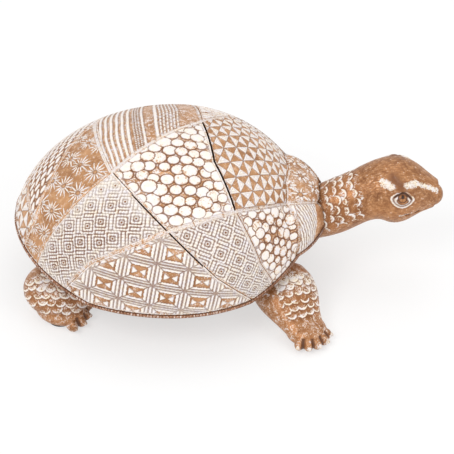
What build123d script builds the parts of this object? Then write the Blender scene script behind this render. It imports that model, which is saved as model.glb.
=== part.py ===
"""Turtle figurine, an ornament cast in resin and assembled from glued castings.

A hollow dome carries a patchwork of carved panels, parted by narrow seams, on a rim lip that rises towards both
ends. Underneath, a thick-walled trunk closes the dome. Four legs and the neck with the head are castings of their
own, each with a flat joint face and a peg that is glued into a socket of the trunk. The neck passes through an arch
in the dome's front wall. A plug closes the pouring hole in the belly, and a felt pad lies under each foot.

+X points to the head, +Y to the animal's left and +Z up. While it is built, the model's origin is on the table
below the top of the dome. The finished model is moved so that its origin is the bottom centre of its box.
Everything is in millimetres.
"""

import os
from math import cos, radians, sin, sqrt, tan

from build123d import *

# Dome: half an egg on the rim plane
rear_reach = 101.3  # the top of the dome to the rear end of the rim
front_reach = 87.5
shell_width = 173.0
dome_height = 72.8
rim_height = 33.5  # the table to the panels' lower edge, along the sides
front_rise_start = 48.0  # the rim climbs from here to the front end
front_rise_angle = 19.0
rear_rise_start = 50.0  # and from here to the rear end
rear_rise_angle = 16.0
collar_centre_reach = 66.5  # the dome swells over the neck: the swelling's centre
collar_centre_height = 46.0
collar_length = 30.0
collar_half_width = 43.0
collar_height = 32.0
core_wall = 5.0
panel_thickness = 3.0
seam_gap = 0.9  # open joint between two panels
glue_gap = 0.2  # glue line between two castings
lip_thickness = 2.2
lip_overhang = 0.6  # lip past the panels' outer face

# Carving of the flanks: the main sunk forms, which the finer lines lie between
carving_depth = 0.75
bow_cell_length = 19.3  # a field of the panels with bow ties, along its row
bow_cell_height = 13.8
fret_square = 13.3  # side of a square of the interlocking pattern
carving_groove = 0.8  # width of the groove round a field's middle or in a square

# Trunk: a shallow bowl that closes the dome from below
trunk_inset = 6.0  # trunk's upper edge inside the panels' outer face
trunk_depth = 22.0  # of the whole bowl, before the belly is cut flat
trunk_wall = 38.0  # thick, for the pegs' sockets
trunk_floor = 5.0
belly_clearance = 11.5  # the table to the flat of the belly
plug_radius = 9.0
plug_depth = 4.0
plug_flange_radius = 11.5
plug_flange_thickness = 1.2
tail_radius = 6.0
tail_tip_radius = 1.6
tail_length = 13.0
tail_height = 20.0
tail_droop = 40.0

# Glued peg joints
peg_radius = 4.5
peg_length = 13.0
leg_peg_height = 22.5  # the table to the middle of a leg's peg
peg_clearance = 0.2
socket_spare = 1.0  # socket deeper than its peg
notch_clearance = 0.8  # around a leg, where the trunk is cut away for it

# Neck and head
neck_radius = 17.0
neck_height = 43.8  # the table to the neck's centre at its joint face
neck_joint_reach = 76.0  # the top of the dome to the neck's joint face
neck_clearance = 1.0  # arch around the neck
neck_arch_rise = 3.5  # arch's centre above the neck's, because the neck climbs
neck_post_length = 20.0
neck_post_width = 26.0
neck_post_foot = 22.0  # the table to the post's foot inside the trunk
head_reach = 168.5  # the top of the dome to the snout
head_rise = 19.5  # neck joint's centre to the skull's centre
skull_radius = 20.8
eye_length = 14.0
eye_height = 9.5
eye_depth = 10.0
eye_turn = 8.0  # the eye's front end turned in towards the snout, in degrees
brow_length = 19.0
brow_turn = 10.0
mouth_gap = 1.0
mouth_tilt = 4.0

# Legs
pad_radius = 8.0
pad_thickness = 1.5
pad_glue = 0.1
foreleg_reach = 47.0  # joint face to the tips of the toes
foreleg_width = 39.4
foreleg_height = 28.0
foreleg_lift = 18.5  # the table to the centre of the joint face
foreleg_heading = -64.0  # on the right side, from straight ahead
forefoot_heading = -59.0
hindleg_length = 45.0  # thigh
hindleg_width = 43.0
hindleg_height = 30.0
hindleg_lift = 16.5
hindleg_heading = -135.0
hindfoot_heading = -22.0
hindfoot_length = 30.0
toe_length = 10.0
toe_width = 7.0
claw_length = 2.4

overrun = 5.0  # how far a cutting shape runs past what it cuts

shell_length = rear_reach + front_reach
half_width = shell_width / 2
lip_top = rim_height - glue_gap
lip_bottom = lip_top - lip_thickness
trunk_top = lip_bottom - glue_gap
foot_level = pad_thickness + pad_glue
egg_centre = Vector(0, 0, rim_height)

# Places of the panels' corners on the dome: shares of the reach to the front or rear, and of the half width.
# The right side is negative.
corner_shares = {
    "crown_rear": (-0.36, -0.33),
    "crown_left": (0.20, 0.185),
    "crown_middle": (0.29, -0.26),
    "crown_front": (0.435, -0.58),
    "crown_right": (-0.02, -0.76),
    "back_peak": (-0.49, 0.37),
    "back_left": (-0.42, 0.60),
    "mid_left": (0.13, 0.62),
    "front_left": (0.48, 0.52),
    "leaf_upper": (-0.67, 0.015),
    "leaf_middle": (-0.74, -0.17),
    "leaf_tip": (-0.835, -0.38),
    "tail_left": (-0.89, 0.10),
    "haunch": (-0.635, -0.505),
    "ridge_rear": (-0.475, -0.80),
    "groove_low": (0.305, -0.905),
    "shoulder_top": (0.525, -0.675),
    "shoulder_low": (0.61, -0.74),
    "ridge_front": (0.80, -0.30),
    "throat_right": (0.795, -0.13),
    "throat_left": (0.775, 0.32),
    "nose_right": (0.915, -0.155),
    "nose_left": (0.915, 0.155),
}

# Corners at the rim: the share of the reach to the front or rear, and the side.
rim_shares = {
    "rim_leaf": (-0.92, -1),
    "rim_haunch": (-0.84, -1),
    "rim_ridge": (-0.695, -1),
    "rim_side": (-0.10, -1),
    "rim_groove": (0.60, -1),
    "rim_shoulder": (0.735, -1),
    "rim_throat": (0.84, -1),
    "rim_nose": (0.999, -1),
    "rim_tail": (-1.00, 1),
    "rim_tail_left": (-0.90, 1),
    "rim_rear_left": (-0.72, 1),
    "rim_mid_left": (-0.10, 1),
    "rim_front_left": (0.50, 1),
    "rim_throat_left": (0.83, 1),
}
rim_drop_share = 0.08  # rim corners lie this share of the dome's height below the rim plane

# Each panel's corners, anticlockwise from above.
panel_corners = {
    "panel_pebbles_crown": "crown_rear crown_right crown_front crown_middle crown_left",
    "panel_stripes_back": "crown_rear crown_left mid_left back_left back_peak",
    "panel_crinkle_left": "crown_left front_left mid_left",
    "panel_flowers_rear": "crown_rear back_peak leaf_upper leaf_middle leaf_tip rim_leaf rim_haunch haunch",
    "panel_leaves_rear": (
        "back_peak back_left rim_rear_left rim_tail_left tail_left leaf_tip leaf_middle leaf_upper"
    ),
    "panel_triangles_tail": "leaf_tip tail_left rim_tail_left rim_tail rim_leaf",
    "panel_squares_right": "crown_rear haunch rim_haunch rim_ridge ridge_rear crown_right",
    "panel_bows_right": "crown_right ridge_rear rim_ridge rim_side rim_groove groove_low",
    "panel_squares_shoulder": (
        "crown_right groove_low rim_groove rim_shoulder shoulder_low shoulder_top crown_front"
    ),
    "panel_pebbles_shoulder": "crown_front shoulder_top shoulder_low rim_shoulder rim_throat ridge_front",
    "panel_pinwheels_front": (
        "crown_front ridge_front throat_right throat_left front_left crown_left crown_middle"
    ),
    "panel_fringe_right": "ridge_front rim_throat rim_nose nose_right",
    "panel_flowers_throat": "ridge_front nose_right nose_left throat_left throat_right",
    "panel_bows_left": "back_left mid_left rim_mid_left rim_rear_left",
    "panel_squares_left": "mid_left front_left rim_front_left rim_mid_left",
    "panel_pebbles_left": "front_left throat_left rim_throat_left rim_front_left",
    "panel_fringe_left": "throat_left nose_left rim_nose rim_throat_left",
}

# Where a carving starts on its panel, as corner shares, and how far its rows climb from level, in degrees.
carving_place_shares = {
    "panel_bows_right": ("bow", 0.0, -0.941, -10.5),
    "panel_bows_left": ("bow", -0.33, 0.85, 8.0),
    "panel_squares_right": ("fret", -0.356, -0.567, 16.0),
    "panel_squares_left": ("fret", 0.28, 0.80, 10.0),
}
bow_pocket_shares = (0.55, 0.52)  # of the field's length and height: the sunk middle
bow_ring_share = 0.80  # the groove round it
bow_tie_shares = (0.04, 0.39, 0.31)  # of the sunk middle: each triangle's point and base from the centre, half base
fret_row_shares = (1.65, 0.21)  # of the square: the next pair of squares in the row, along and up
fret_column_shares = (0.61, -0.77)  # the next row
fret_ring_share = 0.26  # half the square groove's size, of the square
carving_margin_share = 0.36  # of a field or a square: the least distance from its middle to the panel's edge
carving_count = 5  # rows and columns that are tried each way

wedge_inner_share = 0.2  # a panel's wedge starts and ends at these shares of the shell's length
wedge_outer_share = 1.2

# Neck and head sections, rear to front: share of the way from the joint face to the snout, share of the head's
# rise, radius as a share of the neck's or the skull's, and the tilt of the way ahead in degrees.
neck_station_shares = (
    (0.00, 0.00, 0.98, 0),
    (0.11, 0.06, 0.99, 10),
    (0.22, 0.21, 1.00, 19),
    (0.33, 0.47, 1.00, 25),
    (0.44, 0.75, 0.99, 25),
)
skull_station_shares = (
    (0.53, 0.91, 0.88, 18),
    (0.62, 0.98, 0.99, 5),
    (0.70, 0.99, 0.99, -1),
    (0.78, 0.96, 0.86, -6),
    (0.86, 0.90, 0.63, -10),
    (0.94, 0.83, 0.43, -11),
)
snout_place_shares = (0.92, 0.81)  # along the way and of the rise
snout_radius_shares = (0.33, 0.37, 0.34)  # of the skull's radius
eye_place_shares = (0.695, 0.79, 0.24)  # along the way, then out and up as shares of the skull's radius
brow_place_shares = (0.685, 0.66, 0.56)
brow_radius_shares = (0.26, 0.19)  # of the brow's length: half its width and half its height
mouth_shares = (0.71, 1.02, -0.36)  # from and to, along the way, and the height as a share of the skull's radius
mouth_core_share = 0.45  # half width of what the mouth's slot leaves between its sides, of the skull's radius

# Foreleg sections: share of the reach, height of the centre as a share of the joint's, half width and half height
# as shares of the leg's.
foreleg_joint_shares = (0.74, -0.425)  # of the front reach and the half width
foreleg_station_shares = (
    (0.00, 1.00, 0.98, 1.00),
    (0.30, 0.93, 1.00, 0.98),
    (0.48, 0.78, 0.87, 0.82),
    (0.66, 0.58, 0.70, 0.64),
    (0.80, 0.46, 0.60, 0.46),
    (0.90, 0.38, 0.46, 0.30),
)
forefoot_place_shares = (0.77, 0.02, 0.36)  # along the reach, to the front, and of the joint's height
forefoot_radius_shares = (0.27, 0.27, 0.16)  # of the foreleg's reach
foretoe_turns = (-52, -26, 0, 26, 52)  # from the foot's heading, in degrees

# Hind leg
thigh_place_shares = (-0.705, -0.47)  # of the rear reach and the half width
thigh_joint_share = 0.70  # the thigh's middle to the joint face, as a share of its radius that way
hindfoot_place_shares = (0.04, -0.45)  # from the thigh's middle: of its half length ahead, of its half width out
hindfoot_lift_share = 0.70  # the foot's middle above its sole, as a share of its half height
hindfoot_radius_shares = (0.54, 0.40, 0.29)  # of the foot's length
hindtoe_turns = (-34, -10, 14, 38)

toe_height_shares = (0.62, 0.42)  # of the toe's width: half its height, and the height of its centre above the sole
toe_place_share = 0.85  # the toe's middle from the foot's, of the foot's half length
claw_radius_shares = (0.25, 0.12)  # of the toe's width, at the root and the tip
claw_droop_share = 0.25  # how far a claw dips, of its way out


def egg_quarter(reach, inset):
    """A quarter of the egg on its origin: the part that reaches to +X, drawn in by inset."""
    quarter = Sphere(1, arc_size1=0, arc_size2=90, arc_size3=180, align=(Align.NONE,) * 3)
    return scale(Rotation(0, 0, -90) * quarter, by=(reach - inset, half_width - inset, dome_height - inset))


def rim_outline(inset):
    """The rim's outline as a face on the rim plane, drawn in by inset."""
    side = half_width - inset
    halves = []
    for reach, turn in ((front_reach - inset, 1), (rear_reach - inset, -1)):
        oval = Ellipse(reach, side) if reach > side else Rotation(0, 0, 90) * Ellipse(side, reach)
        keep = Pos(turn * reach, 0) * Rectangle(2 * reach, 3 * side)
        halves.append(oval & keep)
    return Pos(*egg_centre) * (halves[0] + halves[1])


def dome(inset):
    """The whole dome, drawn in by inset from the panels' outer face, with a straight skirt below the rim."""
    front = egg_quarter(front_reach, inset)
    rear = mirror(egg_quarter(rear_reach, inset), about=Plane.YZ)
    skirt = extrude(rim_outline(inset), -(rim_height - trunk_top + overrun))
    radii = (collar_length - inset, collar_half_width - inset, collar_height - inset)
    collar = ellipsoid((collar_centre_reach, 0, collar_centre_height), radii)
    return Pos(*egg_centre) * (front + rear) + skirt + (collar & above_flat(rim_height))


def bowl(inset, depth):
    """The dome with half an egg of the given depth hung under the trunk's top, drawn in by inset."""
    quarters = []
    for reach in (front_reach, rear_reach):
        quarter = Sphere(1, arc_size1=-90, arc_size2=0, arc_size3=180, align=(Align.NONE,) * 3)
        by = (reach - inset, half_width - inset, depth)
        quarters.append(scale(Rotation(0, 0, -90) * quarter, by=by))
    lower = quarters[0] + mirror(quarters[1], about=Plane.YZ)
    upper = dome(inset) & above_flat(trunk_top)
    return upper + Pos(0, 0, trunk_top) * lower


def above_flat(height):
    """All that lies higher than a level plane."""
    tall = rim_height + 2 * dome_height
    return Pos(0, 0, height + tall / 2) * Box(2 * shell_length, 2 * shell_width, tall)


def above_rim(height):
    """All that lies higher than the rim's surface, which is level at height and climbs at both ends."""
    far = shell_length
    top = rim_height + 2 * dome_height
    points = [
        (-far, height + (far - rear_rise_start) * tan(radians(rear_rise_angle))),
        (-rear_rise_start, height),
        (front_rise_start, height),
        (far, height + (far - front_rise_start) * tan(radians(front_rise_angle))),
        (far, top),
        (-far, top),
    ]
    profile = Plane.XZ * make_face(Polyline(*points, close=True))
    return extrude(profile, shell_width, both=True)


def corner_ray(name):
    """The direction from the egg's centre to a panel corner, as a vector in millimetres."""
    if name in rim_shares:
        x_share, side = rim_shares[name]
        y_share = side * sqrt(max(0.0, 1 - x_share**2))
        z_share = -rim_drop_share
    else:
        x_share, y_share = corner_shares[name]
        z_share = sqrt(max(0.0, 1 - x_share**2 - y_share**2))
    reach = front_reach if x_share > 0 else rear_reach
    return Vector(x_share * reach, y_share * half_width, z_share * dome_height)


def wedge(names):
    """A flat-sided wedge from near the egg's centre through a panel's corners, half a seam inside them."""
    rays = [corner_ray(name).normalized() for name in names]
    count = len(rays)
    inward = [rays[i].cross(rays[(i + 1) % count]).normalized() for i in range(count)]
    middle = sum(rays, Vector(0, 0, 0)).normalized()
    rings = []
    for height in (wedge_inner_share * shell_length, wedge_outer_share * shell_length):
        ring = []
        for i, ray in enumerate(rays):
            before, after = inward[i - 1], inward[i]
            foot = (before + after) * (seam_gap / 2 / (1 + before.dot(after)))
            ring.append(foot + ray * ((height - middle.dot(foot)) / middle.dot(ray)))
        rings.append(ring)
    inner, outer = rings
    sides = [
        Face(Wire.make_polygon([inner[i], inner[(i + 1) % count], outer[(i + 1) % count], outer[i]]))
        for i in range(count)
    ]
    ends = [Face(Wire.make_polygon(ring)) for ring in rings]
    return Pos(*egg_centre) * Solid(Shell(sides + ends))


def on_egg(ray):
    """Where a ray from the egg's centre meets the egg, and the way out of the egg there."""
    reach = front_reach if ray.X > 0 else rear_reach
    spot = ray / sqrt((ray.X / reach) ** 2 + (ray.Y / half_width) ** 2 + (ray.Z / dome_height) ** 2)
    out = Vector(spot.X / reach**2, spot.Y / half_width**2, spot.Z / dome_height**2).normalized()
    return egg_centre + spot, out


def carving_planes(name, row, column, mate, margin):
    """A plane on the dome for each middle of a panel's pattern that lies well inside the panel."""
    kind, x_share, y_share, tilt = carving_place_shares[name]
    reach = front_reach if x_share > 0 else rear_reach
    z_share = sqrt(1 - x_share**2 - y_share**2)
    start, out = on_egg(Vector(x_share * reach, y_share * half_width, z_share * dome_height))
    level = Vector(0, 0, 1).cross(out).normalized()
    along = level * cos(radians(tilt)) + out.cross(level) * sin(radians(tilt))
    up = out.cross(along)
    rays = [corner_ray(corner).normalized() for corner in panel_corners[name].split()]
    inward = [rays[i - 1].cross(ray).normalized() for i, ray in enumerate(rays)]
    steps = range(-carving_count, carving_count + 1)
    places = [(i * row[0] + j * column[0], i * row[1] + j * column[1]) for i in steps for j in steps]
    planes = []
    for right, high in places + [(right + mate, high) for right, high in places if mate]:
        spot, normal = on_egg(start - egg_centre + along * right + up * high)
        room = min(way.dot(spot - egg_centre) for way in inward)
        if min(room, spot.Z - rim_height) > margin:
            planes.append(Plane(origin=spot, x_dir=up.cross(normal).normalized(), z_dir=normal))
    return planes


def carving(name):
    """The sunk main forms of a panel's pattern, as shapes to cut away."""
    if carving_place_shares[name][0] == "bow":
        row, column, mate = (bow_cell_length, 0), (0, bow_cell_height), 0
        margin = carving_margin_share * bow_cell_length
        long, high = bow_pocket_shares[0] * bow_cell_length, bow_pocket_shares[1] * bow_cell_height
        middle = Rectangle(long, high)
        point, base, half_base = bow_tie_shares
        for turn in (1, -1):
            corners = [(point * long, 0), (base * long, half_base * high), (base * long, -half_base * high)]
            middle -= make_face(Polyline(*[(turn * x, y) for x, y in corners], close=True))
        ring_long, ring_high = bow_ring_share * bow_cell_length, bow_ring_share * bow_cell_height
        ring = Rectangle(ring_long, ring_high)
        ring -= Rectangle(ring_long - 2 * carving_groove, ring_high - 2 * carving_groove)
        shape = extrude(middle, carving_depth, both=True) + extrude(ring, carving_depth, both=True)
    else:
        row, column = ([share * fret_square for share in shares] for shares in (fret_row_shares, fret_column_shares))
        mate = -fret_square  # squares stand in pairs, and the start is the front one
        margin = carving_margin_share * fret_square
        outer, inner = (2 * fret_ring_share * fret_square + turn * carving_groove for turn in (1, -1))
        shape = Box(outer, outer, 2 * carving_depth) - Box(inner, inner, 2 * carving_depth)
    return [plane * shape for plane in carving_planes(name, row, column, mate, margin)]


def ellipsoid(origin, radii, turn=0):
    """An ellipsoid whose first radius points turn degrees from straight ahead."""
    return Pos(*origin) * Rotation(0, 0, turn) * scale(Sphere(1), by=tuple(radii))


def heading(turn):
    """A level direction, turn degrees from straight ahead."""
    return Vector(cos(radians(turn)), sin(radians(turn)), 0)


def oval(origin, direction, half_wide, half_high):
    """An oval face square to direction, with its width level."""
    level = Vector(0, 0, 1).cross(direction)
    plane = Plane(origin=origin, x_dir=level, z_dir=direction)
    if half_wide >= half_high:
        return plane * Ellipse(half_wide, half_high)
    return plane * Rotation(0, 0, 90) * Ellipse(half_high, half_wide)


def peg(origin, direction, clearance=0, spare=0):
    """A peg that points against direction, or its socket, if clearance and spare are given."""
    length = peg_length + spare
    start = origin - direction * (length / 2)
    plane = Plane(origin=start, z_dir=direction)
    return plane * Cylinder(peg_radius + clearance, length)


def at_peg_height(origin):
    """The middle of a leg's peg, above or below the middle of its joint face."""
    return Vector(origin.X, origin.Y, leg_peg_height)


def notch(origin, direction, half_wide, half_high):
    """The room that a leg takes outside its joint face, and its peg's socket behind it."""
    face = oval(origin, direction, half_wide + notch_clearance, half_high + notch_clearance)
    room = extrude(face, shell_width, dir=direction)
    return room + peg(at_peg_height(origin), direction, peg_clearance, socket_spare)


def neck_arch():
    """The opening through the dome's front wall that the neck passes through, open at the rim."""
    wide = neck_radius + neck_clearance
    start = neck_joint_reach - overrun
    length = front_reach + 4 * overrun - start
    rise = neck_height + neck_arch_rise
    tube = Plane(origin=(start, 0, rise), z_dir=(1, 0, 0)) * Circle(wide)
    below = Pos(start + length / 2, 0, rise / 2) * Box(length, 2 * wide, rise)
    return extrude(tube, length) + below


def make_panels(arch):
    """The carved panels, named, as slices of one layer of the dome."""
    layer = ((dome(0) - dome(panel_thickness)) & above_rim(rim_height)) - arch
    panels = {name: layer & wedge(corners.split()) for name, corners in panel_corners.items()}
    for name in carving_place_shares:
        panels[name] -= carving(name)
    return panels


def make_core(arch):
    """The hollow dome under the panels, with the lip that they stand on."""
    outset = panel_thickness + glue_gap
    band = above_rim(lip_bottom) - above_rim(lip_top)
    solid = (dome(outset) & above_rim(lip_bottom)) + (dome(-lip_overhang) & band)
    return solid - dome(outset + core_wall) - arch


def place(along, rise):
    """A point on the middle plane: shares of the way from the neck's joint to the snout and of the head's rise."""
    return Vector(
        neck_joint_reach + along * (head_reach - neck_joint_reach), 0, neck_height + rise * head_rise
    )


def on_skull(shares):
    """A point on the right of the head, from shares along the way and of the skull's radius out and up."""
    along, out, up = shares
    return place(along, 1) + Vector(0, -out * skull_radius, up * skull_radius)


def make_neck():
    """The neck and head in one casting, with its peg."""
    ovals = []
    for stations, full in ((neck_station_shares, neck_radius), (skull_station_shares, skull_radius)):
        for along, rise, share, tilt in stations:
            direction = Vector(cos(radians(tilt)), 0, sin(radians(tilt)))
            plane = Plane(origin=place(along, rise), x_dir=(0, 1, 0), z_dir=direction)
            ovals.append(plane * Circle(share * full))
    shape = loft(ovals)
    shape += ellipsoid(place(*snout_place_shares), [share * skull_radius for share in snout_radius_shares])
    brow_wide, brow_high = (share * brow_length for share in brow_radius_shares)
    for side in (1, -1):
        eye = on_skull(eye_place_shares)
        brow = on_skull(brow_place_shares)
        eye.Y, brow.Y = side * eye.Y, side * brow.Y
        shape += ellipsoid(eye, (eye_length / 2, eye_depth / 2, eye_height / 2), side * eye_turn)
        shape += ellipsoid(brow, (brow_length / 2, brow_wide, brow_high), side * brow_turn)
    start, end, level = mouth_shares
    length = (end - start) * (head_reach - neck_joint_reach)
    middle = place((start + end) / 2, 1) + Vector(0, 0, level * skull_radius)
    slot = Pos(*middle) * Rotation(0, mouth_tilt, 0) * Box(length, 3 * skull_radius, mouth_gap)
    core = ellipsoid(middle, (length, mouth_core_share * skull_radius, skull_radius))
    shape -= slot - core
    return shape + peg(place(0, 0), Vector(1, 0, 0))


def toes(middle, toe_heading, reach, turns):
    """Toes with claws, fanned round the front of a foot whose middle is given."""
    half_high, lift = (share * toe_width for share in toe_height_shares)
    root, tip = (share * toe_width for share in claw_radius_shares)
    shapes = []
    for turn in turns:
        out = heading(toe_heading + turn)
        centre = Vector(middle.X, middle.Y, foot_level + lift) + out * (toe_place_share * reach)
        shapes.append(ellipsoid(centre, (toe_length / 2, toe_width / 2, half_high), toe_heading + turn))
        claw = Plane(origin=centre + out * (toe_length / 2), z_dir=out - Vector(0, 0, claw_droop_share))
        shapes.append(claw * Cone(root, tip, claw_length))
    return shapes


def make_foreleg():
    """The right foreleg with its peg, and the joint's place and heading."""
    out = heading(foreleg_heading)
    reach_share, side_share = foreleg_joint_shares
    joint = Vector(reach_share * front_reach, side_share * half_width, foreleg_lift)
    ovals = []
    for along, lift, wide, high in foreleg_station_shares:
        origin = joint + out * (along * foreleg_reach)
        origin.Z = lift * foreleg_lift
        ovals.append(oval(origin, out, wide * foreleg_width / 2, high * foreleg_height / 2))
    shape = loft(ovals)
    along, ahead, lift = forefoot_place_shares
    foot = joint + out * (along * foreleg_reach) + heading(foreleg_heading + 90) * (ahead * foreleg_reach)
    foot.Z = lift * foreleg_lift
    radii = [share * foreleg_reach for share in forefoot_radius_shares]
    shape += ellipsoid(foot, radii, forefoot_heading)
    for toe in toes(foot, forefoot_heading, radii[0], foretoe_turns):
        shape += toe
    return shape, joint, out, foot


def make_hindleg():
    """The right hind leg, and the joint's place and heading."""
    out = heading(hindleg_heading)
    reach_share, side_share = thigh_place_shares
    thigh = Vector(reach_share * rear_reach, side_share * half_width, hindleg_lift)
    radii = (hindleg_length / 2, hindleg_width / 2, hindleg_height / 2)
    shape = ellipsoid(thigh, radii)
    reach = sqrt((radii[0] * out.X) ** 2 + (radii[1] * out.Y) ** 2)
    joint = thigh - out * (thigh_joint_share * reach)
    ahead, side = hindfoot_place_shares
    foot_radii = [share * hindfoot_length for share in hindfoot_radius_shares]
    foot = thigh + Vector(ahead * radii[0], side * radii[1], 0)
    foot.Z = foot_level + hindfoot_lift_share * foot_radii[2]
    shape += ellipsoid(foot, foot_radii, hindfoot_heading)
    for toe in toes(foot, hindfoot_heading, foot_radii[0], hindtoe_turns):
        shape += toe
    return shape, joint, out, foot


def finish_leg(shape, joint, out):
    """A leg cut flat at its joint face and its sole, with its peg."""
    behind = Plane(origin=joint, z_dir=out) * Pos(0, 0, -shell_width / 2) * Box(shell_width, shell_width, shell_width)
    shape = (shape - behind) & above_flat(foot_level)
    return shape + peg(at_peg_height(joint), out)


def make_plug():
    """The plug in the belly, with its flange."""
    stem = Pos(0, 0, belly_clearance + plug_depth / 2) * Cylinder(plug_radius, plug_depth)
    flange = Pos(0, 0, belly_clearance - plug_flange_thickness / 2) * Cylinder(
        plug_flange_radius, plug_flange_thickness
    )
    return stem + flange


def make_trunk(notches):
    """The trunk with its neck post, its tail, the notches and sockets for the legs, and the pouring hole."""
    solid = bowl(trunk_inset, trunk_depth) & above_flat(belly_clearance)
    solid -= above_rim(trunk_top)
    hollow = bowl(trunk_inset + trunk_wall, trunk_top - belly_clearance - trunk_floor)
    solid -= hollow
    post_height = neck_height + neck_post_width / 2 - neck_post_foot
    post_place = Pos(neck_joint_reach - glue_gap - neck_post_length / 2, 0, neck_post_foot + post_height / 2)
    solid += post_place * Box(neck_post_length, neck_post_width, post_height)
    droop = Vector(-cos(radians(tail_droop)), 0, -sin(radians(tail_droop)))
    reach = (rear_reach - trunk_inset) * sqrt(1 - ((trunk_top - tail_height) / trunk_depth) ** 2)
    tail = Plane(origin=(-reach, 0, tail_height), z_dir=droop)
    solid += tail * Cone(tail_radius, tail_tip_radius, tail_length)
    neck_face = place(0, 0) - Vector(glue_gap, 0, 0)
    room = Plane(origin=neck_face, z_dir=(1, 0, 0)) * Circle(neck_radius + neck_clearance)
    solid -= extrude(room, shell_length)
    solid -= peg(neck_face, Vector(1, 0, 0), peg_clearance, socket_spare)
    for cut in notches:
        solid -= cut
    return solid - Cylinder(plug_radius + peg_clearance, 2 * (belly_clearance + plug_depth + overrun))


def main():
    os.makedirs("parts", exist_ok=True)
    arch = neck_arch()
    nodes = make_panels(arch)
    nodes["shell_core"] = make_core(arch)
    nodes["neck_head"] = make_neck()
    notches = []
    for name, leg, wide, high in (
        ("foreleg", make_foreleg, foreleg_width, foreleg_height),
        ("hindleg", make_hindleg, hindleg_width, hindleg_height),
    ):
        shape, joint, out, foot = leg()
        shape = finish_leg(shape, joint, out)
        pad = Pos(foot.X, foot.Y, pad_thickness / 2) * Cylinder(pad_radius, pad_thickness)
        cut = notch(joint - out * glue_gap, out, wide / 2, high / 2)
        for side in ("right", "left"):
            if side == "left":
                shape, pad, cut = (mirror(item, about=Plane.XZ) for item in (shape, pad, cut))
            nodes[f"{name}_{side}"] = shape
            nodes[f"pad_{name}_{side}"] = pad
            notches.append(cut)
    nodes["trunk"] = make_trunk(notches)
    nodes["belly_plug"] = make_plug()
    boxes = [shape.bounding_box() for shape in nodes.values()]
    front, rear = max(box.max.X for box in boxes), min(box.min.X for box in boxes)
    shift = Pos(-(front + rear) / 2, 0, -min(box.min.Z for box in boxes))
    for name, shape in nodes.items():
        export_step(shift * shape, f"parts/{name}.step")


main()
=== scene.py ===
"""Looks of the turtle figurine: carved patchwork shell, scaly neck and legs, felt pads, on a pale floor."""

import math

import bmesh
import bpy
import numpy as np
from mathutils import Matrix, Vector
from mathutils.bvhtree import BVHTree


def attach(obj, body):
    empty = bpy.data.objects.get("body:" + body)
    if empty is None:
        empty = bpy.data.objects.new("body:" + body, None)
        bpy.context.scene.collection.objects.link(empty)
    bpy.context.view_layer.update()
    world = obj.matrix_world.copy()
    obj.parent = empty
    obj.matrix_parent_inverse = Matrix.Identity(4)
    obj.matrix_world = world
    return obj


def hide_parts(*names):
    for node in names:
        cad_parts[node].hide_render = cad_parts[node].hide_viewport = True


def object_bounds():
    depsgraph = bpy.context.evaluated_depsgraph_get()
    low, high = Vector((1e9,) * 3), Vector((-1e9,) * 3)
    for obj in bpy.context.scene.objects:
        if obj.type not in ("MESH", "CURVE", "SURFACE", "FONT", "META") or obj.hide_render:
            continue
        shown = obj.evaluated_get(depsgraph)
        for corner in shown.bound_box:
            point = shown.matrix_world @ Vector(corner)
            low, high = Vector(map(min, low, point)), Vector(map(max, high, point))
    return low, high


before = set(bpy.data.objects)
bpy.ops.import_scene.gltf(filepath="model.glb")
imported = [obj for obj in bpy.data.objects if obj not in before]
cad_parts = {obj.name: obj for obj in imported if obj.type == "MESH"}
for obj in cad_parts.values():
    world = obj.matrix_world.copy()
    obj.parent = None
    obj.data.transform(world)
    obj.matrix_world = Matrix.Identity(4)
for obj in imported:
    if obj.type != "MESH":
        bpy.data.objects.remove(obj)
cad_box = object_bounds()
scene = bpy.context.scene
MM = 0.001


# Camera, seen from the animal's right and 38 degrees above the table, as in the photograph. The lens is
# long, because the photograph was taken from 1.2 m away.
CAMERA_RISE = math.radians(38)
CAMERA_AWAY = 1.2
PIXELS_ACROSS = 454
PIXEL_SIZE = 0.634  # in millimetres, at the turtle
VIEW_WIDTH = PIXEL_SIZE * PIXELS_ACROSS * MM
SENSOR_WIDTH = 36
LOOKED_AT = Vector((-0.87, 0, 33)) * MM


def add(name, data):
    """A new object in the scene."""
    made = bpy.data.objects.new(name, data)
    scene.collection.objects.link(made)
    return made


camera_data = bpy.data.cameras.new("camera")
camera = add("camera", camera_data)
camera.location = LOOKED_AT + CAMERA_AWAY * Vector((0, -math.cos(CAMERA_RISE), math.sin(CAMERA_RISE)))
camera.rotation_euler = (math.pi / 2 - CAMERA_RISE, 0, 0)
camera_data.sensor_width = SENSOR_WIDTH
camera_data.lens = SENSOR_WIDTH * CAMERA_AWAY / VIEW_WIDTH
camera_data.clip_start = 0.05
scene.camera = camera
scene.view_settings.view_transform = "Standard"


# Paint of all castings: copper and gold laid on dark, then a white wash that holds on the raised carving
# and is rubbed off in spots. A Value wraps a number's socket, so that masks are written as sums, and a
# Sheet is one material.
class Value:
    """A socket that carries a number or a colour, with the usual operators."""

    def __init__(self, sheet, socket):
        self.sheet = sheet
        self.socket = socket

    def _math(self, operation, *values, clamp=False):
        return self.sheet.node("Math", {"operation": operation, "use_clamp": clamp}, *values)

    def __add__(self, other):
        return self._math("ADD", self, other)

    __radd__ = __add__

    def __mul__(self, other):
        return self._math("MULTIPLY", self, other)

    __rmul__ = __mul__

    def __sub__(self, other):
        return self._math("SUBTRACT", self, other)

    def __rsub__(self, other):
        return self._math("SUBTRACT", other, self)

    def clamp(self):
        return self._math("ADD", self, 0, clamp=True)

    def between(self, low, high):
        """0 up to low, 1 from high, smooth between."""
        return self.sheet.node("MapRange", {"interpolation_type": "SMOOTHSTEP"}, self, low, high, 0, 1)


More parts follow.
